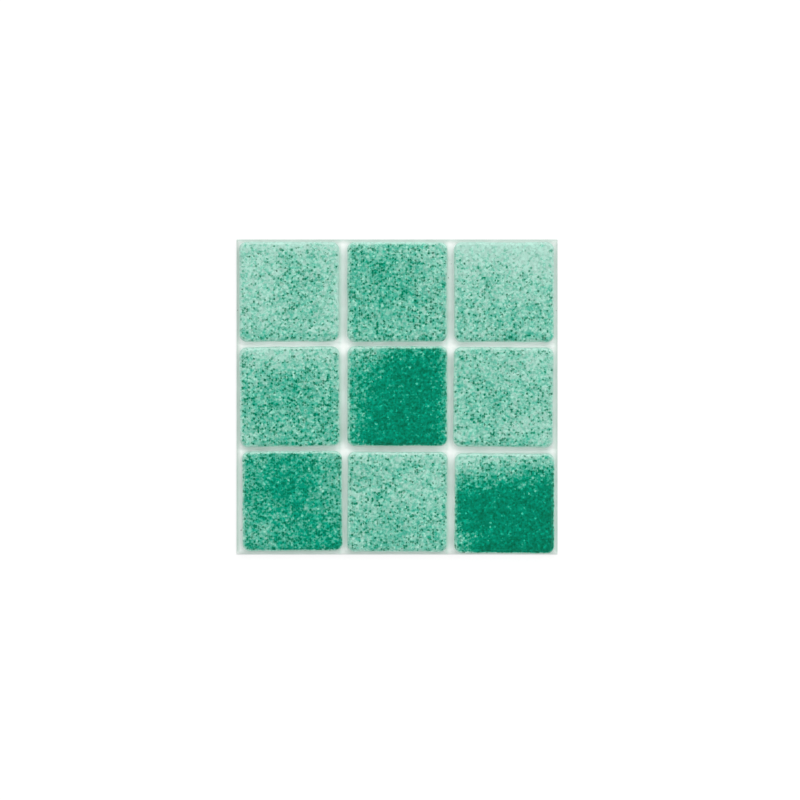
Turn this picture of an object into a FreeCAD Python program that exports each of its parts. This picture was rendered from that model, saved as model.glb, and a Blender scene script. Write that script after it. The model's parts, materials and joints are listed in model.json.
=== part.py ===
import FreeCAD, Part
import math
import os

# Sheet of pressed glass mosaic: square tiles on an open backing mesh, with white filler in the joints.
# Millimetres. X runs to the right along a row of tiles, Y up the sheet and Z up from the bedding side.
# The origin is in the middle of the bedding side, on the crossing of the two middle strands of the mesh.

# Number of tiles up and across the sheet
rows = 3
columns = 3

# Glass tile
tile_side = 25.0
tile_thick = 4.0
edge_radius = 1.0
side_land = 0.3
side_draft = 0.35

# Grooves pressed into the back of a tile, so that the bedding mortar keys into it
groove_width = 1.6
groove_pitch = 3.4
groove_depth = 0.4
groove_flank = 0.3
back_margin = 2.2

# Joints between the tiles, and the white filler in them
column_joint = 1.8
row_joint = 1.3
joint_recess = 1.5
joint_sag = 0.25

# Backing mesh
strand_width = 0.8
strand_thick = 0.4
strand_pitch = 6.0

# How far a tile was laid off its place, to the right and up as shares of the joint there, and its turn
# in degrees, anticlockwise from above. Tiles are counted by row from the top and by column from the left.
laid_square = (0.0, 0.0, 0.0)
laid_off = {
    (1, 1): (-0.12, 0.04, 0.0),
    (1, 2): (0.03, 0.0, 0.0),
    (1, 3): (0.0, -0.04, 0.0),
    (2, 1): (-0.04, 0.06, 0.7),
    (2, 2): (0.05, 0.18, 0.0),
    (2, 3): (-0.10, -0.02, -0.5),
    (3, 1): (0.34, 0.23, 0.4),
    (3, 2): (0.06, 0.06, -0.3),
    (3, 3): (0.06, -0.23, -0.3),
}

pitch_x = tile_side + column_joint
pitch_y = tile_side + row_joint
sheet_x = columns * pitch_x
sheet_y = rows * pitch_y
widest_z = tile_thick - edge_radius - side_land
filler_thick = tile_thick - joint_recess

UP = FreeCAD.Vector(0, 0, 1)


def vec(x, y, z=0.0):
    return FreeCAD.Vector(x, y, z)


def placed(shape, place):
    copy = shape.copy()
    copy.Placement = place.multiply(shape.Placement)
    return copy


def half_section(face_half):
    """Upright face from the Z axis out to the side of a body whose flat top is face_half wide.

    The side stands upright and rolls over into the top.
    """
    reach = face_half + edge_radius
    roll_z = tile_thick - edge_radius
    bend = edge_radius * math.sin(math.pi / 4)
    outline = [
        Part.LineSegment(vec(0, 0, tile_thick), vec(0, 0)),
        Part.LineSegment(vec(0, 0), vec(reach, 0)),
        Part.LineSegment(vec(reach, 0), vec(reach, 0, roll_z)),
        Part.Arc(vec(reach, 0, roll_z), vec(face_half + bend, 0, roll_z + bend),
                 vec(face_half, 0, tile_thick)),
    ]
    if face_half > 0:
        outline.append(Part.LineSegment(vec(face_half, 0, tile_thick), vec(0, 0, tile_thick)))
    return Part.Face(Part.Wire([line.toShape() for line in outline]))


def tile_blank():
    """The plain pressed body, a quarter at a time.

    The section is carried along each side and turned into a post at each corner. Below a short upright
    land each side is then cut back, so that it leans in by side_draft down to the back.
    """
    half = tile_side / 2
    face_half = half - edge_radius
    side = half_section(face_half)
    side.translate(vec(0, -face_half))
    side = side.extrude(vec(0, 2 * face_half))
    corner = half_section(0).revolve(vec(0, 0), UP, 360)
    corner.translate(vec(face_half, face_half))
    lean = [vec(half, -half), vec(half, -half, widest_z), vec(half - side_draft, -half), vec(half, -half)]
    wedge = Part.Face(Part.makePolygon(lean)).extrude(vec(0, tile_side))
    body = []
    wedges = []
    for quarter in range(4):
        turn = FreeCAD.Placement(vec(0, 0), FreeCAD.Rotation(UP, 90 * quarter))
        body += [placed(side, turn), placed(corner, turn)]
        wedges.append(placed(wedge, turn))
    return body[0].multiFuse(body[1:]).removeSplitter().cut(wedges)


def back_grooves():
    """The grooves of one back, side by side across it, each with leaning walls and blind ends."""
    back_side = tile_side - 2 * side_draft
    length = back_side - 2 * back_margin
    count = math.floor((length - groove_width) / groove_pitch) + 1
    floor_half = groove_width / 2 - groove_flank
    profile = Part.makePolygon([
        vec(-length / 2, -groove_width / 2, 0),
        vec(-length / 2, -floor_half, groove_depth),
        vec(-length / 2, floor_half, groove_depth),
        vec(-length / 2, groove_width / 2, 0),
        vec(-length / 2, -groove_width / 2, 0),
    ])
    groove = Part.Face(profile).extrude(vec(length, 0, 0))
    first = -groove_pitch * (count - 1) / 2
    return [groove.translated(vec(0, first + number * groove_pitch)) for number in range(count)]


def tile_place(row, column):
    """Where a tile lies: its own spot in the grid, moved and turned as it was laid."""
    off_x, off_y, turn = laid_off.get((row, column), laid_square)
    x = (column - (columns + 1) / 2) * pitch_x + off_x * column_joint
    y = ((rows + 1) / 2 - row) * pitch_y + off_y * row_joint
    return FreeCAD.Placement(vec(x, y, strand_thick), FreeCAD.Rotation(UP, turn))


def cove(joint, length):
    """A bar along X whose underside hollows a joint: joint_sag deep in the middle, nothing at its sides."""
    radius = (joint ** 2 / 4 + joint_sag ** 2) / (2 * joint_sag)
    axis_z = strand_thick + filler_thick - joint_sag + radius
    return Part.makeCylinder(radius, length, vec(-length / 2, 0, axis_z), vec(1, 0, 0))


def joint_filler(blank):
    """The white grid between the tiles, with a rim of half a joint, pockets for the tiles and hollow tops."""
    plate = Part.makeBox(sheet_x, sheet_y, filler_thick, vec(-sheet_x / 2, -sheet_y / 2, strand_thick))
    across = cove(row_joint, sheet_x)
    upward = cove(column_joint, sheet_y)
    upward.rotate(vec(0, 0), UP, 90)
    cutters = [across.translated(vec(0, (line - rows / 2) * pitch_y)) for line in range(rows + 1)]
    cutters += [upward.translated(vec((line - columns / 2) * pitch_x, 0)) for line in range(columns + 1)]
    for row, column in grid:
        cutters.append(placed(blank, tile_place(row, column)))
    return plate.cut(cutters)


def strand_lines(span):
    """Middle lines of the strands across a span, an even step apart, with one on the middle."""
    each_side = math.floor((span - strand_width) / 2 / strand_pitch)
    return [number * strand_pitch for number in range(-each_side, each_side + 1)]


def backing_mesh():
    """Flat strands both ways, fused where they cross and cut off flush with the sheet's edges."""
    strands = []
    for y in strand_lines(sheet_y):
        strands.append(Part.makeBox(sheet_x, strand_width, strand_thick,
                                    vec(-sheet_x / 2, y - strand_width / 2)))
    for x in strand_lines(sheet_x):
        strands.append(Part.makeBox(strand_width, sheet_y, strand_thick,
                                    vec(x - strand_width / 2, -sheet_y / 2)))
    return strands[0].multiFuse(strands[1:]).removeSplitter()


def save(node, shape):
    solids = shape.Solids
    print(node, "solids", len(solids), "volume", round(shape.Volume, 2), "valid", shape.isValid())
    solids[0].exportStep(f"parts/{node}.step")


os.makedirs("parts", exist_ok=True)
grid = [(row, column) for row in range(1, rows + 1) for column in range(1, columns + 1)]
blank = tile_blank()
tile = blank.cut(back_grooves())
quarter_turn = FreeCAD.Placement(vec(0, 0), FreeCAD.Rotation(UP, 90))

# The grooves of next-door tiles run across each other, as the tiles fall when a sheet is set.
for row, column in grid:
    turned = placed(tile, quarter_turn) if (row + column) % 2 else tile
    save(f"glass_tile_r{row}_c{column}", placed(turned, tile_place(row, column)))
save("joint_filler", joint_filler(blank))
save("backing_mesh", backing_mesh())
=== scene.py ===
# %% [markdown]
# # A sheet of pressed glass mosaic
# The object is a small square of wall mosaic. Each tile is a lump of hot opaque glass, pressed in a
# mould to a square with rolled edges, and strewn with green grit that melts into its face. The tiles
# lie on a net of glass yarn and white filler stands in the joints between them.
#
# The construction is fixed already and comes in as a frame. This script gives every piece its real
# surface: the softness of pressed glass, the grains, the wiped filler and the woven net.

# %% Load the frame
import json
import math

import bpy
import numpy as np
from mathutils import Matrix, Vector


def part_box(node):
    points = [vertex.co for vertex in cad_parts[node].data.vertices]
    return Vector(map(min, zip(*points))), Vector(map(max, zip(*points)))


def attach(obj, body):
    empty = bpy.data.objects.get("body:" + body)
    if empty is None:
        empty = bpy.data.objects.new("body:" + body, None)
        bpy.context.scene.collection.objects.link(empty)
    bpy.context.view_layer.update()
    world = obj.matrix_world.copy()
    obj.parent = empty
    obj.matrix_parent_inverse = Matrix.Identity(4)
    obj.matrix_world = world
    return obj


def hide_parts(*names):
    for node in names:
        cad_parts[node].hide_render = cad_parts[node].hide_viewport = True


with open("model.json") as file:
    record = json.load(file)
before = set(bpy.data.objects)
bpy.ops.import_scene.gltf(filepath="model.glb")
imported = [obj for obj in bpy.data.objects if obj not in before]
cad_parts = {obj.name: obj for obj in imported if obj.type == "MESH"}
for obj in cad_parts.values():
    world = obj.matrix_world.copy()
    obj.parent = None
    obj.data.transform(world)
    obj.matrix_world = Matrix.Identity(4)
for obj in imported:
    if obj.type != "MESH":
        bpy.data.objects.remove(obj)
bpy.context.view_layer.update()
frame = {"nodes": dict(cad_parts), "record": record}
MM = 0.001
tile_nodes = sorted(name for name in frame["nodes"] if name.startswith("glass_tile"))

# %% [markdown]
# ## Sizes
# Everything that places a piece is read from the frame. What the frame can't say, the side of a tile
# before it is turned, is written here once, in millimetres.

# %% Sizes in millimetres
def box_mm(node):
    """Lowest and highest corner of a CAD node, in millimetres."""
    low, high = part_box(node)
    return np.array(low) / MM, np.array(high) / MM


sheet_low, sheet_high = box_mm("joint_filler")
mesh_top = box_mm("backing_mesh")[1][2]
face_z = box_mm(tile_nodes[0])[1][2]
filler_bottom, filler_top = sheet_low[2], sheet_high[2]
sheet_half = sheet_high[:2]
grid_count = math.isqrt(len(tile_nodes))
pitch = 2 * sheet_half / grid_count
tile_side = 25.0
print("face at", round(face_z, 2), "filler top at", round(filler_top, 2), "pitch", pitch.round(2))

# %% [markdown]
# ## Unevenness
# Pressed glass and wiped filler are never flat. Sculpting could show it, but a few cosine waves with
# random headings, added up, are just as gentle, go on for ever and are the same at every run.

# %% Gentle waves
shortest_wave, longest_wave = 0.7, 1.5


def soft_waves(x, y, wavelength, seed, count=16):
    """Sum of cosine waves: cos(2 pi (x cos a + y sin a) / length + start), each with its own heading a.

    The lengths lie between 0.7 and 1.5 wavelengths. The sum is scaled to a spread of about one.
    """
    chance = np.random.default_rng(seed)
    heading = chance.uniform(0, 2 * np.pi, count)
    length = wavelength * chance.uniform(shortest_wave, longest_wave, count)
    start = chance.uniform(0, 2 * np.pi, count)
    along = np.multiply.outer(x, np.cos(heading)) + np.multiply.outer(y, np.sin(heading))
    return np.cos(2 * np.pi * along / length + start).sum(-1) * math.sqrt(2 / count)


sample_line = np.linspace(0, 50, 500)
sample = soft_waves(sample_line, 0 * sample_line, wavelength=5.0, seed=1)
print("spread of the waves:", sample.std().round(2))

# %% [markdown]
# ## From arrays to a mesh
# Every new piece is made as whole arrays of points and faces, which is quick and keeps each size exact.
# One function puts them into a mesh, in metres, with the smooth shading that moulded and woven things
# need. An edge that bends more than crisp_angle stays crisp.

# %% Put arrays into a mesh
crisp_angle = math.radians(50)


def make_piece(name, points, faces, marks=None):
    """Mesh object from points in millimetres and rows of point numbers, with a float mark per point."""
    mesh = bpy.data.meshes.new(name)
    mesh.from_pydata((points * MM).tolist(), [], [row for block in faces for row in block.tolist()])
    for label, values in (marks or {}).items():
        layer = mesh.attributes.new(label, "FLOAT", "POINT")
        layer.data.foreach_set("value", np.asarray(values, np.float32))
    mesh.polygons.foreach_set("use_smooth", np.ones(len(mesh.polygons), bool))
    mesh.validate()
    mesh.update()
    mesh.set_sharp_from_angle(angle=crisp_angle)
    piece = bpy.data.objects.new(name, mesh)
    bpy.context.scene.collection.objects.link(piece)
    print(name, len(mesh.vertices), "points", len(mesh.polygons), "faces")
    return piece


print("edges stay crisp past", round(math.degrees(crisp_angle)), "degrees")

# %% [markdown]
# ## The outline of a tile
# Seen from above a tile is a square with round corners. A bevelled cube would give that too, but its
# large faces couldn't carry the grit, so the outline comes from the border of a fine square grid: each
# border point is pulled back to a smaller square, then pushed out again by the corner radius. Inner grid
# points are the same outline drawn smaller, so the grid never folds.

# %% A square grid and its border
face_lines = 80
grid_u, grid_v = np.meshgrid(np.linspace(-1, 1, face_lines + 1), np.linspace(-1, 1, face_lines + 1))
grid_size = np.maximum(np.abs(grid_u), np.abs(grid_v))
grid_at = np.arange((face_lines + 1) ** 2).reshape(face_lines + 1, face_lines + 1)
ring_at = np.concatenate([grid_at[0, :-1], grid_at[:-1, -1], grid_at[-1, :0:-1], grid_at[:0:-1, 0]])
ring_u, ring_v = grid_u.ravel()[ring_at], grid_v.ravel()[ring_at]
cell_corners = [grid_at[:-1, :-1], grid_at[:-1, 1:], grid_at[1:, 1:], grid_at[1:, :-1]]
cell_faces = np.stack(cell_corners, -1).reshape(-1, 4)
print("points round a tile:", len(ring_at))

# %% Rounded square from the grid
over_zero = 1e-9


def rounded(u, v, half, radius):
    """A point (u, v) on the border of the unit square, carried to a square with round corners.

    The point times half is clamped to half minus radius. What was clamped off gives a direction, and
    the point goes out by the radius along it. over_zero keeps the division safe.
    """
    core = half - radius
    core_x, core_y = np.clip(u * half, -core, core), np.clip(v * half, -core, core)
    out_x, out_y = u * half - core_x, v * half - core_y
    reach = np.maximum(np.hypot(out_x, out_y), over_zero)
    return core_x + radius * out_x / reach, core_y + radius * out_y / reach


print("the corner of a unit square, rounded by a half:", np.round(rounded(1.0, 1.0, 1.0, 0.5), 3))

# %% [markdown]
# ## Where each tile lies
# The tiles were set by hand, so each is a little off its place and some are turned. The middle of
# each comes from the frame, and the few turns, in degrees, are repeated from the construction. No tile
# is a true square either, so its outline wanders a little, more so towards the edge.

# %% Place points on a tile
tile_turns = {"r2_c1": 0.7, "r2_c3": -0.5, "r3_c1": 0.4, "r3_c2": -0.3, "r3_c3": -0.3}
first_seed, seed_step = 100, 10
tile_seeds = {node: first_seed + seed_step * number for number, node in enumerate(tile_nodes)}
outline_wander = 0.035
wander_length = 7.0
wander_power = 4


def row_column(node):
    """The row and column at the end of a tile's name, such as r1_c2."""
    return node[-5:]


def tile_middle(node):
    """Middle of a tile's box, seen from above."""
    low, high = box_mm(node)
    return (low[:2] + high[:2]) / 2


def lay(node, x, y):
    """Points of a square tile, bent by a slight wander of its outline, turned and moved to its place.

    The wander grows with the fourth power of the distance from the tile's middle.
    """
    seed = tile_seeds[node]
    share = np.clip(np.hypot(x, y) / (tile_side / 2), 0, 1) ** wander_power
    x = x + share * outline_wander * soft_waves(x, y, wander_length, seed)
    y = y + share * outline_wander * soft_waves(x, y, wander_length, seed + 1)
    turn = math.radians(tile_turns.get(row_column(node), 0.0))
    middle = tile_middle(node)
    return (middle[0] + x * math.cos(turn) - y * math.sin(turn),
            middle[1] + x * math.sin(turn) + y * math.cos(turn))


print("middles:", {row_column(node): tile_middle(node).round(2).tolist() for node in tile_nodes})

# %% [markdown]
# ## The side of a tile
# Hot glass sinks at its edge, so the crowned face rolls over into a short upright land, and below it
# the side leans in towards the back, so that the tile comes out of its mould. A bevel gives only the
# round, so the side is a profile, a list of insets and heights, that goes all the way round.

# %% From the face down to the back
corner_radius = 1.9
roll_radius = 0.95
face_crown = 0.12
side_land = 0.3
side_lean = 0.35
back_bevel = 0.15
roll_steps = 8
side_steps = 5


def side_profile():
    """Inset from the widest line and height, from the face's border down to the back's bevel.

    A quarter circle rolls over the edge, a short land stands upright, and a straight side leans in.
    The circle starts lower than the middle of the face by the crown.
    """
    angle = np.linspace(0, np.pi / 2, roll_steps + 1)
    roll_top = face_z - face_crown * np.cos(angle)
    roll = np.stack([roll_radius * (1 - np.sin(angle)), roll_top - roll_radius * (1 - np.cos(angle))], 1)
    land_z = face_z - roll_radius - side_land
    down = np.linspace(0, 1, side_steps + 1)
    side = np.stack([side_lean * down, land_z + (mesh_top + back_bevel - land_z) * down], 1)
    return np.concatenate([roll, side])


profile = side_profile()
print("rings down the side:", len(profile) - 1)

# %% [markdown]
# ## The back of a tile
# The mould presses grooves into the back for the mortar to grip, and they end blind before the edges.
# A boolean could cut them, but it leaves thin faces, so they are heights of the back's own grid.

# %% Grooves on the back
groove_pitch = 3.4
groove_width = 1.6
groove_depth = 0.38
groove_flank = 0.3
groove_reach = 9.95


def groove_depths(x, y):
    """Depth of the back's grooves at x, y: a trapezium wave across them that ends in blind ends.

    The grooves run along X, an even number of them, so that a rib stands on the middle line.
    """
    across = np.abs((y / groove_pitch + 0.5) % 1.0 - 0.5) * groove_pitch
    wall = np.clip((across - (groove_pitch - groove_width) / 2) / groove_flank, 0, 1)
    inside = np.clip((groove_reach - np.maximum(np.abs(x), np.abs(y))) / groove_flank, 0, 1)
    return groove_depth * wall * inside


print("depth on a rib and in a groove:", groove_depths(np.zeros(2), np.array([0, groove_pitch / 2])))

# %% [markdown]
# ## The body of a tile
# One closed grid has all of a tile: the face, which is crowned and dips a little in waves, the stack
# of rings down the side, and the back. A grid was chosen because every point then has a known place
# on the tile, and the grit can be laid on it by that place.

# %% Points of a tile
face_dip = 0.03
face_wave = 6.5
calm_power = 6
crown_power = 8


def tile_surface(node, turned):
    """All points of one tile: the face, the rings down the side and the back.

    The face lies at face_z, less face_dip (1/2 + waves / 4), which calms down towards the border, and
    less face_crown times the size of the grid to the eighth power. turned sets the grooves across.
    """
    half = tile_side / 2
    scale = grid_size.ravel()
    direction = np.maximum(scale, over_zero)
    unit_u, unit_v = grid_u.ravel() / direction, grid_v.ravel() / direction
    inner = half - roll_radius
    face_x, face_y = rounded(unit_u, unit_v, inner, corner_radius - roll_radius)
    face_x, face_y = face_x * scale, face_y * scale
    calm = 1 - scale ** calm_power
    waves = soft_waves(face_x, face_y, face_wave, tile_seeds[node] + 2)
    face_height = face_z - face_dip * (0.5 + 0.25 * waves) * calm - face_crown * scale ** crown_power
    rings = [(*rounded(ring_u, ring_v, half - inset, corner_radius - inset), np.full(len(ring_u), height))
             for inset, height in profile[1:]]
    foot = side_lean + back_bevel
    back_x, back_y = rounded(unit_u, unit_v, half - foot, corner_radius - foot)
    back_x, back_y = back_x * scale, back_y * scale
    along, across = (back_y, back_x) if turned else (back_x, back_y)
    back_z = mesh_top + groove_depths(along, across)
    face = (face_x, face_y, np.minimum(face_height, face_z))
    return np.concatenate([face, *rings, (back_x, back_y, back_z)], axis=1)


print("points of a tile:", tile_surface(tile_nodes[0], False).shape[1])

# %% Faces of a tile
def band_quads(numbers):
    """Quads between each ring of point numbers and the next ring, all the way round."""
    following = np.roll(numbers, -1, axis=1)
    return np.stack([numbers[:-1], numbers[1:], following[1:], following[:-1]], -1)


def stack_faces(rings):
    """Faces of the closed grid: the face, quads between rings going round, and the back turned over."""
    square = (face_lines + 1) ** 2
    count = len(ring_at)
    levels = [ring_at] + [square + step * count + np.arange(count) for step in range(rings)]
    levels.append(square + rings * count + ring_at)
    back = cell_faces[:, ::-1] + square + rings * count
    return [cell_faces, band_quads(np.array(levels)).reshape(-1, 4), back]


tile_faces = stack_faces(len(profile) - 1)
print("faces of a tile:", sum(len(block) for block in tile_faces))

# %% [markdown]
# ## How the grit fell
# The grit was strewn by hand over the hot glass, so some tiles caught a dusting and others are nearly
# covered, and on one tile it drifts from side to side. It could be painted as an image. A mark on each
# point of the mesh needs no picture, and the material reads it. Each tile gets a cover, where 0 is bare
# glass and 1 is covered, and a few patches where more or less grit fell. A patch has its middle, its
# reach both ways and what it adds. The long strips along the top edges of the tiles, where less grit is
# listed, are partly painted light: the tops of the tiles are lighter, as where light from the top of the
# sheet falls.

# %% Cover of each tile
# The strips of less grit along the top edges (y near 12) are partly painted light from the top of the sheet.
grit_and_light_by_tile = {
    "r1_c1": (0.21, [(-7, 8, 5, 5, -0.12), (3, 1, 5, 5, 0.12), (-7, -4, 5, 4, -0.10), (0, -10, 12, 4, 0.08),
                     (4, 12, 12, 4, -0.07), (12, -1, 2.5, 30, -0.12)]),
    "r1_c2": (0.43, [(-3, 5, 5, 4, 0.06), (9, -6, 6, 6, -0.08), (9, 9, 4, 5, -0.18),
                     (-3, -11.5, 14, 3, -0.09), (8, 3, 4, 3, -0.08), (0, 12, 30, 2.5, -0.08)]),
    "r1_c3": (0.20, [(0, 12, 30, 5, -0.20), (2, -10, 8, 6, 0.12), (-9, -9, 4, 5, 0.12), (2, -3, 6, 4, 0.05),
                     (5, 5, 8, 6, -0.09), (-4, -10, 3, 3, -0.10)]),
    "r2_c1": (0.37, [(0, 12, 30, 5, -0.25), (0, 0, 6, 6, 0.14), (8, -6, 5, 5, 0.07), (-9, -3, 4, 4, 0.10),
                     (-11, -10, 5, 4, -0.16)]),
    "r2_c2": (1.03, [(-12, 0, 5, 40, -0.36), (12.5, 0, 3, 40, -0.35), (-9, 10, 5, 5, -0.13),
                     (0, 12.5, 40, 3.2, -0.29), (-3, 3, 6, 6, -0.10), (-5, 9, 5, 4, -0.16),
                     (-11, -7, 4, 5, -0.14)]),
    "r2_c3": (0.26, [(0, -3, 6, 6, 0.06), (9, 8, 4, 5, -0.09), (-8, -3, 4, 4, 0.07), (9, -9, 4, 4, -0.11),
                     (4, -4, 4, 4, -0.10), (-8, -10, 6, 3, -0.08), (3, 9, 4, 4, -0.07)]),
    "r3_c1": (0.68, [(1, 8, 6, 6, 0.06), (-9, -9, 6, 6, -0.19), (10, 5, 4, 8, -0.26), (-2, 3, 4, 4, 0.10),
                     (-9, 2, 4, 6, -0.06), (0, 12, 30, 2.2, -0.10), (0, -8.5, 9, 2, -0.06)]),
    "r3_c2": (0.33, [(2, 3, 5, 5, -0.10), (-6, -8, 6, 6, 0.03), (-9, 1, 4, 5, -0.12), (9, 5, 4, 5, -0.12),
                     (-11, -10, 4, 4, -0.10), (2, -6, 5, 4, 0.05), (0, 11.5, 30, 2, -0.10),
                     (0, -12, 30, 1.3, -0.07)]),
    "r3_c3": (1.04, [(0, 12, 40, 6.0, -0.78), (-12, -10, 4, 5, -0.56), (-10, 7.2, 6.5, 5, -0.26)]),
}
print("cover:", {place: cover for place, (cover, patches) in grit_and_light_by_tile.items()})

# %% [markdown]
# ## Where the grit ends
# The skin of grit is heavier at the foot of a tile and lighter at the top. This is partly grit, and partly
# painted shade at the foot and painted light at the top. The bare band along the top edge is wider, a
# painted highlight. The grit grows in more slowly from the left edge, and the rolled edges keep only a
# veil of it.

# %% The skin of grit on one tile
no_grit = -0.2
veil_share = 0.4
# More grit at the foot and less at the top: partly grit, partly painted shade at the foot and painted light
# at the top.
edge_grit_light_and_shade = [(0.07, -11.8, 1.3), (-0.05, 11.2, 1.3)]
edge_bare, edge_full = 0.02, 0.48
left_fade = 0.6
left_power = 4
# The wider bare band along the top edge is a painted highlight, where the rolled top edge catches the light.
bare_left, bare_right, top_painted_highlight, bare_foot = -0.10, 0.02, 0.26, -0.02


def outline_inset(x, y):
    """Distance in from the tile's outline, a square with round corners."""
    core = tile_side / 2 - corner_radius
    out_x, out_y = np.abs(x) - core, np.abs(y) - core
    beyond = np.hypot(np.maximum(out_x, 0), np.maximum(out_y, 0))
    return corner_radius - beyond - np.minimum(np.maximum(out_x, out_y), 0)


def grit_cover(node, x, y, z):
    """The tile's cover plus its patches and the edge bands of grit, painted shade and painted light, each
    fading out as a bell, and bare glass at the edges.

    The skin grows from nothing at edge_bare in from the outline to whole at edge_full. The outline is
    moved in by the bare widths first, and on the left the skin grows more slowly by left_fade. Past
    the skin there is no_grit plus the veil, veil_share of the cover, which ends where the filler starts.
    """
    cover, patches = grit_and_light_by_tile[row_column(node)]
    value = np.full(len(x), cover)
    for patch_x, patch_y, reach_x, reach_y, extra in patches:
        value += extra * np.exp(-((x - patch_x) / reach_x) ** 2 - ((y - patch_y) / reach_y) ** 2)
    for extra, line_y, reach in edge_grit_light_and_shade:
        value += extra * np.exp(-((y - line_y) / reach) ** 2)
    aside = np.where(x > 0, bare_right, -bare_left)
    upward = np.where(y > 0, top_painted_highlight, -bare_foot)
    inset = outline_inset(x + aside, y + upward)
    fade = edge_full - edge_bare + left_fade * np.clip(-x / (tile_side / 2), 0, 1) ** left_power
    on_face = np.clip((inset - edge_bare) / fade, 0, 1)
    on_face = on_face * (z > face_z - roll_radius)
    near_face = np.clip((z - filler_top) / (face_z - filler_top), 0, 1)
    bare = no_grit + veil_share * np.maximum(value, 0) * near_face
    return bare + (value - bare) * on_face


print("grit at the middle of a tile:", grit_cover(tile_nodes[0], *np.zeros((2, 1)), face_z).round(2))

# %% [markdown]
# ## The nine tiles
# Each tile is built, marked and laid in its place. A second mark says how polished the glass is: fire
# polished on the face, and dull further down, where the mould touched it.

# %% Build the nine tiles
polish_below = 0.6
polish_fade = 0.4
tiles = {}
for number, node in enumerate(tile_nodes):
    # The grooves on the backs run along the sheet and across it by turns.
    x, y, z = tile_surface(node, number % 2)
    polish = np.clip((z - (filler_top - polish_below)) / polish_fade, 0, 1)
    points = np.stack([*lay(node, x, y), z], 1)
    tiles[node] = make_piece(node.replace("glass_tile", "pressed_glass_tile"), points, tile_faces,
                             {"cover": grit_cover(node, x, y, z), "polish": polish})

# %% [markdown]
# ## The joint filler
# The filler was rubbed into the joints and wiped while soft, so its top is slightly hollow and a little
# uneven. A slab with the tiles cut out of it would be dead flat, so the height at each place is worked
# out from how near it is to the middle line of a joint.

# %% Height of the filler
joint_width = pitch - tile_side
joint_sag = 0.25
rim_round = 0.25
wipe_wave = 0.035
wipe_length = 4.0
wipe_most = 1.5
wipe_seed = 7


def from_joint(place, way):
    """Distance of points from the nearest joint line, along X (way 0) or Y (way 1), with its sign."""
    return ((place / pitch[way] + grid_count / 2 + 0.5) % 1.0 - 0.5) * pitch[way]


def filler_height(x, y):
    """Height of the filler: its level at the tiles, less a parabola across each joint, with slow waves.

    Where two joints cross, the hollows blend as 1 - (1 - a)(1 - b). At the outer rim the edge is
    rubbed round.
    """
    share_x = 1 - np.clip(2 * np.abs(from_joint(x, 0)) / joint_width[0], 0, 1) ** 2
    share_y = 1 - np.clip(2 * np.abs(from_joint(y, 1)) / joint_width[1], 0, 1) ** 2
    height = filler_top - joint_sag * (1 - (1 - share_x) * (1 - share_y))
    height += wipe_wave * np.clip(soft_waves(x, y, wipe_length, wipe_seed), -wipe_most, wipe_most)
    to_rim = np.minimum(sheet_half[0] - np.abs(x), sheet_half[1] - np.abs(y))
    height -= rim_round * (1 - np.clip(to_rim / rim_round, 0, 1)) ** 2
    return np.minimum(height, filler_top)


print("joints:", joint_width.round(2), "mm wide, hollow by", joint_sag)

# %% [markdown]
# ## Painted light and shade on the filler
# The filler isn't one white. Where joints cross it is whiter a little below the crossing. This is painted
# light from the top of the sheet reaching in between the tiles. Some stretches of joint are made lighter
# or darker, mark by mark. Against the tiles on the left of the upright joints lies a painted shade with a
# green tint, as of light through the glass, and the outer edge is greyer by painted shade. Each of these
# is a mark on the mesh, as the grit is, because it follows the joints and not a pattern in space.

# %% Marks on the filler
mark_depth = 0.8
# The crossing mark is painted light: whiter paste a little below each crossing, where light from the top of
# the sheet falls between the tiles.
crossing_light_reach = (1.6, 2.2)
crossing_light_drop = 0.9
# The rim mark is painted shade: a greyer band along the outer edge, fading inwards and down the side, and
# weaker at the foot.
rim_shade_reach = 1.2
rim_shade_side_fade = 0.8
rim_shade_foot_fade = 0.6
# The tone marks make stretches of joint lighter or darker, each with its middle, reach both ways and what it
# adds.
joint_tone_marks = [(-26, 13.1, 13, 2, 0.75), (26, 13.1, 13, 2, 0.50), (0, 13.1, 9, 2, 0.20),
               (0, -13.1, 9, 2, -0.35), (-13.7, 0, 1.0, 39, -0.28), (13.1, 0, 1.0, 39, -0.28)]
# The dust mark is painted shade with a green tint, as of light coming through the glass, along the tile
# walls on the left of the upright joints.
wall_shade_line = 0.9
wall_shade_reach = 0.4


def crossing_painted_light(place):
    """Bell round each crossing of two joints on the top, a little below it: painted light, where light from
    the top of the sheet reaches in between the tiles.
    """
    from_y = from_joint(place[:, 1] + crossing_light_drop, 1)
    bell = np.exp(-(from_joint(place[:, 0], 0) / crossing_light_reach[0]) ** 2 - (from_y / crossing_light_reach[1]) ** 2)
    return bell * (place[:, 2] > filler_top - mark_depth)


def rim_painted_shade(place):
    """One along the upper outer edge: painted shade, which makes the filler there greyer.

    It fades to nothing inwards over its reach, fades over mark_depth down the side, and is weaker along
    the foot of the sheet.
    """
    to_rim = np.min(sheet_half - np.abs(place[:, :2]), axis=1)
    down = np.clip((filler_top - place[:, 2]) / mark_depth, 0, 1)
    at_foot = np.clip(-place[:, 1] - sheet_half[1] + rim_shade_reach, 0, 1)
    return (1 - np.clip(to_rim / rim_shade_reach, 0, 1)) * (1 - rim_shade_side_fade * down) * (1 - rim_shade_foot_fade * at_foot)


def joint_tone(place):
    """How much lighter or darker each stretch of joint is made, mark by mark: extra exp(-(x / reach)^4 - (y
    / reach)^4).
    """
    tone = np.zeros(len(place))
    for mark_x, mark_y, reach_x, reach_y, extra in joint_tone_marks:
        away = ((place[:, 0] - mark_x) / reach_x) ** 4 + ((place[:, 1] - mark_y) / reach_y) ** 4
        tone += extra * np.exp(-away)
    return tone


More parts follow.
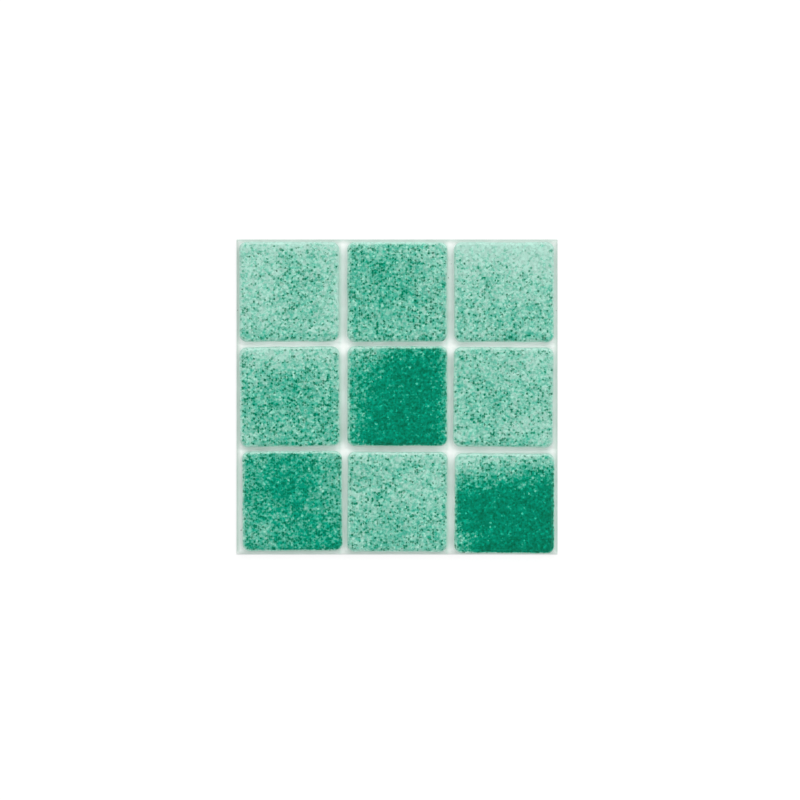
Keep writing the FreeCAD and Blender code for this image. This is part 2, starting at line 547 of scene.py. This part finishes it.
def wall_shade_and_green_light(place):
    """Painted shade with a green tint, as of light through the glass: a bell along a line left of each
    upright joint's middle, and none where joints cross.
    """
    inside = np.abs(place[:, 0]) < sheet_half[0] - pitch[0] / 2
    on_top = place[:, 2] > filler_top - mark_depth
    line = np.exp(-((from_joint(place[:, 0], 0) + wall_shade_line) / wall_shade_reach) ** 2)
    return line * inside * (1 - crossing_painted_light(place)) * on_top


print("marks along the joints:", len(joint_tone_marks))

# %% [markdown]
# ## One cast grid from nine collars
# The filler is one cast grid. Each tile's part of it is a collar: rings of points that run from the
# tile's wall out to the middle line of the joints. Neighbouring collars end in the same points, which
# are then merged. So the filler follows every tile's own outline, and no boolean is needed.

# %% Rings of a collar
wall_bite = 0.06
top_rings = 9
rim_steps = 3


def collar(node):
    """Rings of one tile's collar, from the wall's foot over the top to the joint line, and down from there.

    The outer rings are the border of the tile's square in the grid, and the inner ones its own outline.
    """
    slot_number = np.round((tile_middle(node) + sheet_half) / pitch - 0.5)
    centre = (slot_number + 0.5) * pitch - sheet_half
    outer = np.stack([centre[0] + ring_u * pitch[0] / 2, centre[1] + ring_v * pitch[1] / 2], 1)
    half = tile_side / 2 - wall_bite
    inner = np.stack(lay(node, *rounded(ring_u, ring_v, half, corner_radius)), 1)
    foot = np.stack(lay(node, *rounded(ring_u, ring_v, half - side_lean, corner_radius)), 1)
    rings = [np.column_stack([foot, np.full(len(foot), filler_bottom)])]
    for share in np.linspace(0, 1, top_rings):
        flat = inner + (outer - inner) * share
        rings.append(np.column_stack([flat, filler_height(flat[:, 0], flat[:, 1])]))
    top = rings[-1]
    under = np.column_stack([outer, np.full(len(outer), filler_bottom)])
    rim = [top + (under - top) * step / rim_steps for step in range(1, rim_steps + 1)]
    return np.array(rings), np.array(rim)


def along_rim(ring):
    """True where a point of a ring and the next one lie on the same outer side of the sheet."""
    away = np.abs(ring[:, :2])
    return (np.isclose(away, sheet_half) & np.isclose(away, np.roll(away, -1, axis=0))).any(axis=1)


print("rings of a collar, over the top and down the rim:", [len(block) for block in collar(tile_nodes[0])])

# %% Build the filler
merge_digits = 5
filler_points, filler_quads = [], []


def add_rings(levels, kept=slice(None)):
    """Puts rings of points into the filler, with the quads between each ring and the next, or those kept."""
    start = sum(len(block) for block in filler_points)
    numbers = start + np.arange(levels.shape[0] * levels.shape[1]).reshape(levels.shape[:2])
    filler_points.append(levels.reshape(-1, 3))
    filler_quads.append(band_quads(numbers)[:, kept][:, :, ::-1].reshape(-1, 4))


for node in tile_nodes:
    rings, rim = collar(node)
    outside = np.concatenate([rings[-1:], rim])
    add_rings(rings)
    add_rings(outside, along_rim(outside[0]))
    add_rings(np.concatenate([rim[-1:], rings[:1]]))

points = np.concatenate(filler_points)
snapped = np.round(points, merge_digits)
first, merged = np.unique(snapped, axis=0, return_index=True, return_inverse=True)[1:]
points = points[first]
# Marks on the filler: crossing is painted light, rim is painted shade, dust is painted shade with a green
# tint, and tone makes stretches of joint lighter or darker.
filler = make_piece("wiped_joint_filler", points, [merged.ravel()[np.concatenate(filler_quads)]],
                    {"crossing": crossing_painted_light(points), "rim": rim_painted_shade(points),
                     "tone": joint_tone(points), "dust": wall_shade_and_green_light(points)})

# %% [markdown]
# ## The net on the back
# The net is a leno weave of glass yarn: flat yarns run one way, and across them pairs of thin yarns that
# change sides between one flat yarn and the next, which locks the mesh. Bevelled curves could make it.
# Here each yarn is a path with an oval carried along it, so its ends are closed and its faces few.

# %% Paths of the yarns
strand_pitch = 6.0
edge_clear = 0.4
yarn_flat = (0.34, 0.055)
yarn_round = (0.15, 0.06)
net_middle = mesh_top / 2
net_lift = 0.12
pair_spread = 0.2
path_step = 0.4
flat_sway, flat_sway_length, flat_seed = 0.04, 9.0, 500
pair_sway, pair_sway_length, pair_seed = 0.03, 8.0, 600


def strand_lines(half):
    """Middle lines of the strands across a span, one of them on the middle."""
    each_side = math.floor((half - edge_clear) / strand_pitch)
    return strand_pitch * np.arange(-each_side, each_side + 1)


def yarn_paths():
    """Every yarn as (path, half width, half thickness, direction across it).

    A flat yarn lies level. Of a pair, each goes aside by pair_spread cos(pi y / pitch) and up by
    net_lift cos(pi y / pitch), one with a plus sign and the other with a minus sign.
    """
    yarns = []
    across_x, across_y = (1, 0, 0), (0, 1, 0)
    run = np.linspace(-1, 1, int(2 * sheet_half[0] / path_step) + 1)
    for number, y in enumerate(strand_lines(sheet_half[1])):
        x = run * sheet_half[0]
        sway = flat_sway * soft_waves(x, np.full(len(x), y), flat_sway_length, flat_seed + number)
        yarns.append((np.stack([x, y + sway, np.full(len(x), net_middle)], 1), *yarn_flat, across_y))
    run = np.linspace(-1, 1, int(2 * sheet_half[1] / path_step) + 1)
    for number, x in enumerate(strand_lines(sheet_half[0])):
        y = run * sheet_half[1]
        swing = np.cos(np.pi * y / strand_pitch)
        sway = pair_sway * soft_waves(y, np.full(len(y), x), pair_sway_length, pair_seed + number)
        for hand in (1, -1):
            side = x + sway + hand * pair_spread * swing
            height = net_middle + hand * net_lift * swing
            yarns.append((np.stack([side, y, height], 1), *yarn_round, across_x))
    return yarns


print("yarns:", len(yarn_paths()))

# %% Build the net
yarn_sides = 10


def tube(path, half_width, half_thick, across):
    """An oval carried along a path: path plus width cos t along `across` plus thickness sin t along Z."""
    turn = np.linspace(0, 2 * np.pi, yarn_sides, endpoint=False)[:, None]
    oval = half_width * np.cos(turn) * np.array(across) + half_thick * np.sin(turn) * np.array([0, 0, 1])
    return path[:, None, :] + oval[None, :, :]


net_points, net_quads, net_caps = [], [], []
for path, half_width, half_thick, across in yarn_paths():
    start = sum(len(block) for block in net_points)
    numbers = start + np.arange(len(path) * yarn_sides).reshape(len(path), yarn_sides)
    quads = band_quads(numbers)[..., [0, 3, 2, 1]].reshape(-1, 4)
    caps = np.stack([numbers[0, ::-1], numbers[-1]])
    if across[0]:
        # A yarn along Y, with its width along X, is wound the other way round.
        quads, caps = quads[:, ::-1], caps[:, ::-1]
    net_points.append(tube(path, half_width, half_thick, across).reshape(-1, 3))
    net_quads.append(quads)
    net_caps.append(caps)
net = make_piece("woven_backing_net", np.concatenate(net_points), net_quads + net_caps)

# %% [markdown]
# ## Colours and nodes
# Colours are written as they look on a screen and turned to the linear values that Blender mixes. One
# function adds a node, sets what is a value and links what comes from another node.

# %% Colour and node helpers
def colour(code, alpha=1.0):
    """A screen colour such as #A1B2C3 in linear light, by the formula of the sRGB standard."""
    screen = np.array([int(code[at:at + 2], 16) for at in (1, 3, 5)]) / 255
    light = np.where(screen <= 0.04045, screen / 12.92, ((screen + 0.055) / 1.055) ** 2.4)
    return (*light.tolist(), alpha)


def add_node(tree, kind, inputs=None, **settings):
    """A node with its settings. Its kind is what follows ShaderNode in Blender's name for it.

    An input that is given a socket, or a node for its first output, is linked. Any other is set.
    """
    node = tree.nodes.new("ShaderNode" + kind)
    for name, value in settings.items():
        setattr(node, name, value)
    for name, value in (inputs or {}).items():
        if isinstance(value, bpy.types.Node):
            value = value.outputs[0]
        if isinstance(value, bpy.types.NodeSocket):
            tree.links.new(value, node.inputs[name])
        else:
            node.inputs[name].default_value = value
    return node


def new_material(name):
    """A material with an empty Principled shader, and the tree and shader to work on."""
    material = bpy.data.materials.new(name)
    material.use_nodes = True
    return material, material.node_tree, material.node_tree.nodes["Principled BSDF"]


def place_mm(tree):
    """Each point's own place in millimetres, so that a pattern's scale comes from a real size."""
    place = add_node(tree, "TexCoord").outputs["Object"]
    return add_node(tree, "Mapping", {"Vector": place, "Scale": (1 / MM,) * 3})


def fill_ramp(ramp, stops):
    """Gives a colour ramp its stops, each a place from 0 to 1 and a colour."""
    elements = ramp.color_ramp.elements
    while len(elements) < len(stops):
        elements.new(0.5)
    for element, (place, value) in zip(elements, stops):
        element.position = place
        element.color = value


print("middle grey of a screen in linear light:", round(colour("#808080")[0], 3))

# %% [markdown]
# ## Pressed glass with fused grit
# Opaque mosaic glass is a pale mint, and the grit is a deep sea green. Most of the grit is dust that melts
# to a soft mottle, the coarser grains stay as small dark specks, and a few grains of bare glass stay pale.
# First comes the level of the grit at each place: the cover that rides on the mesh, and clumps where more
# or less of it fell. Noise is used for clumps and dust alike, because melted dust has no hard edges.

# %% Level of the grit
clump_size = 3.0
clump_swing = 0.52


def grit_level(tree, mm):
    """Level: the cover plus clump_swing (noise - 1/2)."""
    cover = add_node(tree, "Attribute", attribute_name="cover").outputs["Fac"]
    clump = add_node(tree, "TexNoise", {"Vector": mm, "Scale": 1 / clump_size, "Detail": 2.0,
                                        "Roughness": 0.55})
    clump = add_node(tree, "Math", {0: clump, 1: clump_swing, 2: -clump_swing / 2},
                     operation="MULTIPLY_ADD")
    return add_node(tree, "Math", {0: cover, 1: clump}, operation="ADD")


print("clumps change the level by up to", clump_swing / 2)

# %% [markdown]
# ## Grains
# A Voronoi pattern gives each grain a middle, which makes the speck, and random numbers, which decide
# whether it is a dark grain, a pale one or none. The more grit fell, the more of the grains are dark.
# The distance from a grain's middle, and so its rim and heart, are counted in grain sizes.

# %% Grains, dark and pale
grain_size = 0.56
warp_size = 0.4
grain_warp = 0.30
grain_rim, grain_heart = 0.74, 0.44
dark_by_level, dark_anyway, dark_fade = 0.7, 0.13, 0.2
pale_from, pale_full, pale_most = 0.74, 0.97, 0.22


def grain_kinds(tree, mm, level):
    """What the grain pattern says at each place, as a dictionary of inputs for other nodes.

    spot is one in a grain's heart and nothing past its rim. dark is one for a dark grain, and pale is
    how bare a pale grain is. deep is pale times the level. shade is the grain's own random number.
    """
    # Grains aren't round, so the pattern's place is pushed about by a noise first.
    push = add_node(tree, "TexNoise", {"Vector": mm, "Scale": 1 / warp_size, "Detail": 1.0})
    centred = add_node(tree, "VectorMath", {0: push.outputs["Color"], 1: (0.5, 0.5, 0.5)},
                       operation="SUBTRACT")
    shift = add_node(tree, "VectorMath", {0: centred, "Scale": grain_warp}, operation="SCALE")
    warped = add_node(tree, "VectorMath", {0: mm, 1: shift}, operation="ADD")
    cells = add_node(tree, "TexVoronoi", {"Vector": warped, "Scale": 1 / grain_size}).outputs
    spot = add_node(tree, "MapRange", {"Value": cells["Distance"], "From Min": grain_rim,
                                       "From Max": grain_heart}, interpolation_type="SMOOTHSTEP")
    chance = add_node(tree, "SeparateColor", {"Color": cells["Color"]}).outputs

    # A grain is dark if its random number lies below a share that grows with the level.
    share = add_node(tree, "Math", {0: level, 1: dark_by_level, 2: dark_anyway}, operation="MULTIPLY_ADD")
    surplus = add_node(tree, "Math", {0: share, 1: chance["Red"]}, operation="SUBTRACT")
    dark = add_node(tree, "MapRange", {"Value": surplus, "From Max": dark_fade})
    pale = add_node(tree, "MapRange", {"Value": chance["Green"], "From Min": pale_from,
                                       "From Max": pale_full, "To Max": pale_most})
    deep = add_node(tree, "Math", {0: level, 1: pale}, operation="MULTIPLY", use_clamp=True)
    return {"spot": spot, "dark": dark, "pale": pale, "deep": deep, "shade": chance["Blue"]}


print("grains on a tile:", round((tile_side / grain_size) ** 2))

# %% [markdown]
# ## How dense the green is
# Dust and grains add up to one density, which the colour follows. Where the grit lies thick already,
# one more grain adds little. Between the grains the glass is stained by what melted round it, so it is
# never quite bare.

# %% Density of the grit
dust_swing = 1.64
thick_level = 1.2
room_thin, room_thick = 0.385, 0.15
deep_bare = 0.45
stain_share = 0.32


def grit_density(tree, level, mottle, grains):
    """Level + dust_swing (mottle - 1/2) + spot (dark x room - bare), and stain_share level at least.

    mottle is a noise, the dust that melted right down. room is what a dark grain adds, less where the
    grit is thick, and bare is what a pale grain takes.
    """
    dust = add_node(tree, "Math", {0: mottle, 1: dust_swing, 2: -dust_swing / 2}, operation="MULTIPLY_ADD")
    dusted = add_node(tree, "Math", {0: level, 1: dust}, operation="ADD")
    room = add_node(tree, "MapRange", {"Value": level, "From Max": thick_level, "To Min": room_thin,
                                       "To Max": room_thick})
    dark = add_node(tree, "Math", {0: grains["dark"], 1: room}, operation="MULTIPLY")
    bare = add_node(tree, "Math", {0: grains["deep"], 1: deep_bare, 2: grains["pale"]},
                    operation="MULTIPLY_ADD")
    grain = add_node(tree, "Math", {0: dark, 1: bare}, operation="SUBTRACT")
    density = add_node(tree, "Math", {0: grains["spot"], 1: grain, 2: dusted}, operation="MULTIPLY_ADD")
    stain = add_node(tree, "Math", {0: level, 1: stain_share}, operation="MULTIPLY")
    return add_node(tree, "Math", {0: density, 1: stain}, operation="MAXIMUM")


print("a dark grain adds", room_thin, "to thin grit and", room_thick, "to thick grit")

# %% [markdown]
# ## Colour of the melt
# A ramp turns density to colour, from pale mint to the deepest green. No two grains are the same green,
# and smoky clouds lie in the melt where the colour is weaker. A bare grain in thick grit is lit through
# its clear neighbours, so it is brighter and purer. A dark grain stands proud of thin grit and shades
# itself, so it is darker still and a little yellower.

# %% Colour by density
grit_colours = [(0.0, "#B2DBCD"), (0.25, "#8ACAB5"), (0.5, "#60B59E"), (0.75, "#33A184"), (0.95, "#0A8C6E"),
                (1.15, "#008062"), (1.4, "#007254"), (1.8, "#006445")]
thickest_grit = 1.8
darkest_grain, lightest_grain = 0.86, 1.12
cloud_width = 1.6
cloud_low, cloud_high = 0.3, 0.7
pure_colour, smoky_colour = 1.14, 1.02
lit_brighter, lit_purer = 0.85, 0.25
proud_from, proud_thin, proud_thick = 0.4, 0.45, 0.08
hue_as_it_is, hue_yellower = 0.5, -0.04


def melt_colour(tree, mm, level, density, grains):
    """The ramp's colour at the density, with its value, saturation and hue shifted grain by grain."""
    shade = add_node(tree, "Math", {0: density, 1: 1 / thickest_grit}, operation="MULTIPLY")
    ramp = add_node(tree, "ValToRGB", {"Fac": shade})
    fill_ramp(ramp, [(amount / thickest_grit, colour(code)) for amount, code in grit_colours])
    own_shade = add_node(tree, "MapRange", {"Value": grains["shade"], "To Min": darkest_grain,
                                            "To Max": lightest_grain})
    cloud = add_node(tree, "TexNoise", {"Vector": mm, "Scale": 1 / cloud_width, "Detail": 2.0})
    strength = add_node(tree, "MapRange", {"Value": cloud, "From Min": cloud_low, "From Max": cloud_high,
                                           "To Min": pure_colour, "To Max": smoky_colour})
    lit = add_node(tree, "Math", {0: grains["deep"], 1: grains["spot"]}, operation="MULTIPLY")
    own_shade = add_node(tree, "Math", {0: lit, 1: lit_brighter, 2: own_shade}, operation="MULTIPLY_ADD")
    strength = add_node(tree, "Math", {0: lit, 1: lit_purer, 2: strength}, operation="MULTIPLY_ADD")
    proud = add_node(tree, "MapRange", {"Value": level, "From Min": proud_from, "To Min": proud_thin,
                                        "To Max": proud_thick})
    proud = add_node(tree, "Math", {0: proud, 1: grains["dark"]}, operation="MULTIPLY")
    proud = add_node(tree, "Math", {0: proud, 1: grains["spot"]}, operation="MULTIPLY")
    own_shade = add_node(tree, "Math", {0: own_shade, 1: proud}, operation="SUBTRACT")
    hue = add_node(tree, "Math", {0: proud, 1: hue_yellower, 2: hue_as_it_is}, operation="MULTIPLY_ADD")
    return add_node(tree, "HueSaturation", {"Hue": hue, "Saturation": strength, "Value": own_shade,
                                            "Color": ramp})


print("bare glass in linear light:", [round(v, 3) for v in colour(grit_colours[0][1])[:3]])

# %% [markdown]
# ## The glass
# Light sinks a little way into such glass. Subsurface scattering would show that but blur the specks, so
# the colour goes on an opaque shader with the index of soda glass. Its gloss follows the polish mark,
# and the melted dust leaves a relief of a few hundredths of a millimetre.

# %% The glass
mottle_size = 0.77
dull_glass, polished_glass = 0.5, 0.18
glass_relief = 0.04


def glass_material():
    """Opaque pressed mosaic glass: glossy where fire polished it, dull on the back and the lower sides."""
    material, tree, shader = new_material("pressed_mosaic_glass_with_fused_grit")
    mm = place_mm(tree)
    mottle = add_node(tree, "TexNoise", {"Vector": mm, "Scale": 1 / mottle_size, "Detail": 3.0,
                                         "Roughness": 0.65})
    level = grit_level(tree, mm)
    grains = grain_kinds(tree, mm, level)
    density = grit_density(tree, level, mottle, grains)
    melt = melt_colour(tree, mm, level, density, grains)
    tree.links.new(melt.outputs["Color"], shader.inputs["Base Color"])
    polish = add_node(tree, "Attribute", attribute_name="polish").outputs["Fac"]
    dull = add_node(tree, "MapRange", {"Value": polish, "To Min": dull_glass, "To Max": polished_glass})
    tree.links.new(dull.outputs["Result"], shader.inputs["Roughness"])
    shader.inputs["IOR"].default_value = 1.5
    bump = add_node(tree, "Bump", {"Height": mottle, "Strength": 0.2, "Distance": glass_relief * MM})
    tree.links.new(bump.outputs["Normal"], shader.inputs["Normal"])
    return material


glass = glass_material()
for piece in tiles.values():
    piece.data.materials.append(glass)
print("glass nodes:", len(glass.node_tree.nodes))

# %% [markdown]
# ## Cement filler
# The filler is a white cement with fine marble flour. Wiped with a damp sponge it dries matt and smooth,
# with a sandy grain that shows only close up, and a few darker specks of grit. The marks on the mesh lay
# painted light, painted shade and a green-tinted painted shade on it: each entry names its mark, its
# strength and its colour.

# %% Filler material
sand_size = 0.12
sand_share = 0.35
cloud_size = 5.0
whitest_paste = 1.6
paste_colours = [(0.0, "#BBCCC3"), (0.35, "#D1DED8"), (0.65, "#DCE8E3"), (0.95, "#E6EFEB"), (1.6, "#FBFDFC")]
# Painted light where joints cross, painted shade at the rim, and painted shade with a green tint against the
# tiles.
painted_light_and_shade = [("crossing", 1.0, "#FAFCFA"), ("rim", 0.9, "#9CBFAF"), ("dust", 0.32, "#96D7BE")]
speck_pitch = 3.0
speck_reach = 0.07
speck_share = 0.8
speck_colour = "#5C7468"
sand_relief = 0.05


def filler_material():
    """White cement: sand and clouds on a ramp of pastes, then the painted light and shade, then the specks.
    """
    material, tree, shader = new_material("white_cement_filler_sponged")
    mm = place_mm(tree)
    sand = add_node(tree, "TexNoise", {"Vector": mm, "Scale": 1 / sand_size, "Detail": 3.0})
    cloud = add_node(tree, "TexNoise", {"Vector": mm, "Scale": 1 / cloud_size, "Detail": 2.0})
    tone = add_node(tree, "Attribute", attribute_name="tone").outputs["Fac"]
    mix = add_node(tree, "Math", {0: sand, 1: sand_share, 2: cloud}, operation="MULTIPLY_ADD")
    mix = add_node(tree, "Math", {0: mix, 1: tone}, operation="ADD")
    mix = add_node(tree, "Math", {0: mix, 1: 1 / whitest_paste}, operation="MULTIPLY")
    paste = add_node(tree, "ValToRGB", {"Fac": mix})
    fill_ramp(paste, [(amount / whitest_paste, colour(code)) for amount, code in paste_colours])
    # Each pass lays one mark's painted light or shade over the paste, at its strength.
    for mark, strength, code in painted_light_and_shade:
        stain = add_node(tree, "Attribute", attribute_name=mark).outputs["Fac"]
        stain = add_node(tree, "Math", {0: stain, 1: strength}, operation="MULTIPLY")
        paste = add_node(tree, "Mix", {"Factor": stain, 6: paste, 7: colour(code)},
                         data_type="RGBA").outputs[2]
    specks = add_node(tree, "TexVoronoi", {"Vector": mm, "Scale": 1 / speck_pitch}).outputs["Distance"]
    specks = add_node(tree, "MapRange", {"Value": specks, "From Min": speck_reach,
                                         "From Max": speck_reach / 2, "To Max": speck_share})
    paste = add_node(tree, "Mix", {"Factor": specks, 6: paste, 7: colour(speck_colour)},
                     data_type="RGBA").outputs[2]
    tree.links.new(paste, shader.inputs["Base Color"])
    shader.inputs["Roughness"].default_value = 0.8
    shader.inputs["Specular IOR Level"].default_value = 0.3
    bump = add_node(tree, "Bump", {"Height": sand, "Strength": 0.4, "Distance": sand_relief * MM})
    tree.links.new(bump.outputs["Normal"], shader.inputs["Normal"])
    return material


filler.data.materials.append(filler_material())
print("stains on the filler:", len(painted_light_and_shade))

# %% [markdown]
# ## Sized glass yarn
# Glass yarn is white and silky, and the size that stiffens the net leaves it a little shiny. Its filaments
# are too fine to show, so a noise as wide as a bundle of them stands for the lines along it.

# %% Yarn material
filament_size = 0.09
filament_relief = 0.04
yarn_colours = [(0.3, "#D4D6CC"), (0.7, "#F2F3EE")]


def yarn_material():
    """White glass yarn, a little shiny, with a fine unevenness in its colour and its surface."""
    material, tree, shader = new_material("sized_glass_yarn_woven")
    strands = add_node(tree, "TexNoise", {"Vector": place_mm(tree), "Scale": 1 / filament_size,
                                          "Detail": 2.0})
    ramp = add_node(tree, "ValToRGB", {"Fac": strands})
    fill_ramp(ramp, [(place, colour(code)) for place, code in yarn_colours])
    tree.links.new(ramp.outputs["Color"], shader.inputs["Base Color"])
    shader.inputs["Roughness"].default_value = 0.45
    bump = add_node(tree, "Bump", {"Height": strands, "Strength": 0.5, "Distance": filament_relief * MM})
    tree.links.new(bump.outputs["Normal"], shader.inputs["Normal"])
    return material


net.data.materials.append(yarn_material())
print("materials:", len(bpy.data.materials))

# %% [markdown]
# ## Tie the pieces to the frame
# Each new piece rides on the part's one body and stands for the plain solid it covers, which is hidden.

# %% Tie the pieces to the frame
for row in frame["record"]["subparts"]:
    node = row["node"]
    piece = tiles.get(node) or {"joint_filler": filler, "backing_mesh": net}[node]
    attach(piece, "root")
    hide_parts(node)

# %% [markdown]
# ## Floor
# The sheet lies face up on a plain white floor. To the eye and in reflections the floor glows white, with
# a soft shadow left in it. For the light that bounces off it, it is plain pale grey.

# %% Floor
floor_half = 2.0
floor_glow = 0.78
floor_matt = 0.28
floor_mesh = bpy.data.meshes.new("plain_floor")
floor_mesh.from_pydata([(-floor_half, -floor_half, 0), (floor_half, -floor_half, 0),
                        (floor_half, floor_half, 0), (-floor_half, floor_half, 0)], [], [(0, 1, 2, 3)])
floor = bpy.data.objects.new("plain_floor", floor_mesh)
bpy.context.scene.collection.objects.link(floor)


def floor_material():
    """Glow plus a matt part that takes the shadow, for what is seen, and pale grey for bounced light."""
    material, tree, shader = new_material("pale_studio_floor")
    shader.inputs["Base Color"].default_value = colour("#DADADA")
    shader.inputs["Roughness"].default_value = 0.9
    shader.inputs["Specular IOR Level"].default_value = 0.0
    path = add_node(tree, "LightPath").outputs
    seen = add_node(tree, "Math", {0: path["Is Camera Ray"], 1: path["Is Glossy Ray"]},
                    operation="MAXIMUM")
    seen = add_node(tree, "Math", {0: seen, 1: path["Is Transmission Ray"]}, operation="MAXIMUM")
    glow = add_node(tree, "Emission", {"Color": (1, 1, 1, 1), "Strength": floor_glow})
    matt = add_node(tree, "BsdfDiffuse", {"Color": (floor_matt,) * 3 + (1,)})
    white = add_node(tree, "AddShader", {0: glow, 1: matt})
    mixed = add_node(tree, "MixShader", {0: seen, 1: shader.outputs["BSDF"], 2: white})
    tree.links.new(mixed.outputs["Shader"], tree.nodes["Material Output"].inputs["Surface"])
    return material


floor.data.materials.append(floor_material())
print("floor:", 2 * floor_half, "m wide")

# %% [markdown]
# ## Light
# A low ring of sky and a large soft lamp from the top of the picture light the sheet. The sky is dark
# overhead, because polished glass seen from straight above mirrors what is over it, and a bright sky
# there would lay a grey veil on the deep greens. The sky is a little brighter towards the top of the
# sheet. What the glass mirrors is brighter there too, and dark behind the foot of the sheet, so that
# the rolled edges along the tops of the tiles catch a bright line and the others don't.

# %% Sky
sky_levels = [(0.0, 0.54), (0.5, 0.83), (0.92, 1.38), (0.975, 0.02)]
sky_tilt = 0.25
mirrored_from, mirrored_full, mirrored_level = -0.25, 0.8, 1.6
sky = bpy.data.worlds.new("soft_ring_sky")
sky.use_nodes = True
sky_tree = sky.node_tree
background = sky_tree.nodes["Background"]
heading = add_node(sky_tree, "TexCoord").outputs["Generated"]
heading = add_node(sky_tree, "SeparateXYZ", {"Vector": heading}).outputs
glow = add_node(sky_tree, "ValToRGB", {"Fac": heading["Z"]})
fill_ramp(glow, [(place, (level, level, level, 1)) for place, level in sky_levels])
sky_tree.links.new(glow.outputs["Color"], background.inputs["Color"])
tilt = add_node(sky_tree, "MapRange", {"Value": heading["Y"], "From Min": -1.0, "From Max": 1.0,
                                       "To Min": 1 - sky_tilt, "To Max": 1 + sky_tilt})
mirrored = add_node(sky_tree, "MapRange", {"Value": heading["Y"], "From Min": mirrored_from,
                                           "From Max": mirrored_full, "To Max": mirrored_level})
in_mirror = add_node(sky_tree, "LightPath").outputs["Is Glossy Ray"]
strength = add_node(sky_tree, "Mix", {"Factor": in_mirror, 2: tilt, 3: mirrored}).outputs[0]
sky_tree.links.new(strength, background.inputs["Strength"])
bpy.context.scene.world = sky
print("sky, by sine of height:", sky_levels)

# %% Lamps
def lamp(name, power, size, spot):
    """A square soft lamp of a power in watts at a spot in metres, aimed at the middle of the sheet."""
    light = bpy.data.lights.new(name, "AREA")
    light.energy = power
    light.size = size
    lit = bpy.data.objects.new(name, light)
    bpy.context.scene.collection.objects.link(lit)
    x, y, z = spot
    lit.location = spot
    lit.rotation_euler = (math.atan2(math.hypot(x, y), z), 0, math.atan2(x, -y))
    print(name, [round(math.degrees(angle)) for angle in lit.rotation_euler], "degrees")


lamp("key_from_top_of_sheet", power=1.2, size=0.6, spot=(0.1, 1.15, 0.72))
lamp("small_window_top_right", power=2.0, size=0.1, spot=(0.65, 0.8, 0.9))

# %% [markdown]
# ## Camera
# The camera looks straight down with a long lens. Its height gives a millimetre of the tiles' faces four
# pixels, and it stands a little aside, so that the sheet lies where it lies in the picture.

# %% Camera
photo_side = 800
pixels_per_mm = 4.0
sheet_middle_pixel = (397.0, 397.0)
lens, sensor = 200.0, 36.0
view_side = photo_side / pixels_per_mm * MM
camera_data = bpy.data.cameras.new("camera_above")
camera_data.lens = lens
camera_data.sensor_width = sensor
camera = bpy.data.objects.new("camera_above", camera_data)
bpy.context.scene.collection.objects.link(camera)
aside = [(photo_side / 2 - pixel) / pixels_per_mm * MM for pixel in sheet_middle_pixel]
camera.location = (aside[0], -aside[1], face_z * MM + view_side * lens / sensor)
bpy.context.scene.camera = camera
bpy.context.scene.view_settings.view_transform = "Standard"
print("camera at", [round(v, 4) for v in camera.location])
